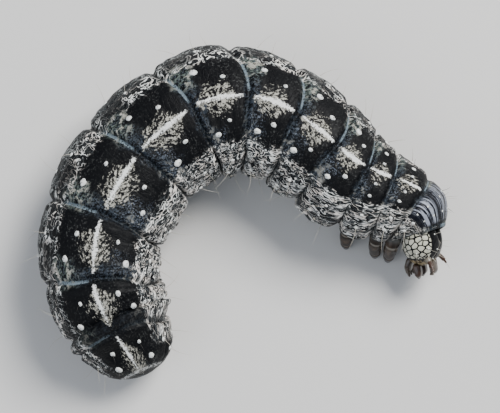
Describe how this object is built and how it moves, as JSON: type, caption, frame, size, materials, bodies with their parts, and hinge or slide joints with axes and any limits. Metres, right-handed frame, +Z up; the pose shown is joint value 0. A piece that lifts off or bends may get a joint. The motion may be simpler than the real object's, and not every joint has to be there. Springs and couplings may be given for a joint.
{
  "type": "moth larva",
  "caption": "Life-size still moth larva curled in a C, with segmented body, fleshy prolegs, jointed front legs and a rounded head, standing on flat soles.",
  "frame": {"origin": "centre of the bounding box's base, on the floor that the animal stands on", "axes": "+Z up; +X from the tail's side towards the head's side of the C; +Y from the open side of the C towards its rounded top"},
  "size_m": [0.027, 0.0218, 0.0073],
  "materials": {
    "skin": "velvety black with white and grey-green markings",
    "head_shell": "glossy, pale tiles in a black net",
    "leg_horn": "glossy dark brown"
  },
  "bodies": {
    "root": {"abdomen_1": "skin", "abdomen_2": "skin", "abdomen_3": "skin", "abdomen_4": "skin", "abdomen_5": "skin", "abdomen_6": "skin", "abdomen_7": "skin", "abdomen_8": "skin", "abdomen_9": "skin", "anal_proleg_left": "skin", "anal_proleg_right": "skin", "anal_segment": "skin", "antenna_left": "leg_horn", "antenna_right": "leg_horn", "head": "head_shell", "labrum": "leg_horn", "leg_front_left": "leg_horn", "leg_front_right": "leg_horn", "leg_middle_left": "leg_horn", "leg_middle_right": "leg_horn", "leg_rear_left": "leg_horn", "leg_rear_right": "leg_horn", "lower_lip": "leg_horn", "mandible_left": "leg_horn", "mandible_right": "leg_horn", "mesothorax": "skin", "metathorax": "skin", "proleg_3_left": "skin", "proleg_3_right": "skin", "proleg_4_left": "skin", "proleg_4_right": "skin", "proleg_5_left": "skin", "proleg_5_right": "skin", "proleg_6_left": "skin", "proleg_6_right": "skin", "prothorax": "skin"}
  },
  "joints": []
}
